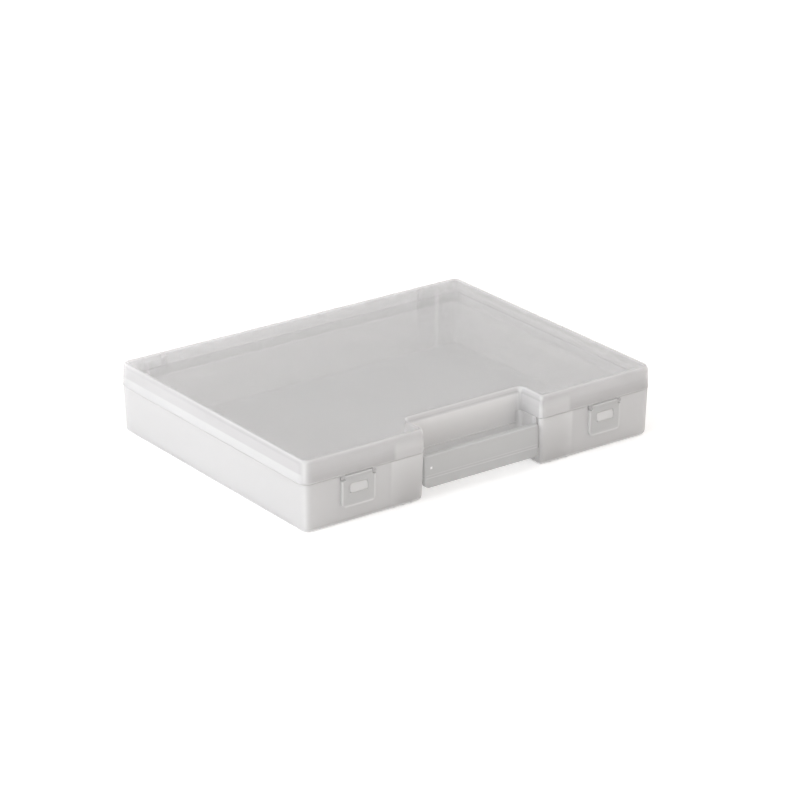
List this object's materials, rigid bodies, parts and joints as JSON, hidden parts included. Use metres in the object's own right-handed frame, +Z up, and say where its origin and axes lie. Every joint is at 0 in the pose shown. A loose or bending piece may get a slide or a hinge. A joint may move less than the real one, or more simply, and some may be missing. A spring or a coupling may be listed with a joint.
{
  "type": "carry case",
  "caption": "Slim translucent carry case for papers: drafted base, hinged lid with a stepped rim, snap latches and a bar handle set in a front notch.",
  "frame": {"origin": "on the floor under the middle of the closed case's bounding box", "axes": "+X to the case's right seen from the front, +Y to the hinges at the rear, +Z up"},
  "size_m": [0.32, 0.251, 0.057],
  "materials": {
    "base_plastic": "cloudy translucent polypropylene, satin",
    "lid_plastic": "cloudy translucent polypropylene, satin",
    "handle_plastic": "cloudy translucent polypropylene, satin",
    "latch_plastic": "cloudy translucent polypropylene, satin",
    "pin_plastic": "cloudy translucent plastic rod, satin"
  },
  "bodies": {
    "base": {"base_shell": "base_plastic", "carry_handle": "handle_plastic", "hinge_pin_left": "pin_plastic", "hinge_pin_right": "pin_plastic"},
    "lid": {"lid_shell": "lid_plastic", "latch_pin_left": "pin_plastic", "latch_pin_right": "pin_plastic"},
    "left_latch": {"latch_left": "latch_plastic"},
    "right_latch": {"latch_right": "latch_plastic"}
  },
  "joints": [
    {"name": "lid_hinge", "type": "hinge", "parent": "base", "child": "lid", "pos_m": [0, 0.12293, 0.03835], "axis": [-1, 0, 0], "range_deg": [0, 180]},
    {"name": "left_latch_pivot", "type": "hinge", "parent": "lid", "child": "left_latch", "pos_m": [-0.113, -0.12367, 0.0364], "axis": [-1, 0, 0], "range_deg": [0, 105]},
    {"name": "right_latch_pivot", "type": "hinge", "parent": "lid", "child": "right_latch", "pos_m": [0.113, -0.12367, 0.0364], "axis": [-1, 0, 0], "range_deg": [0, 105]}
  ]
}
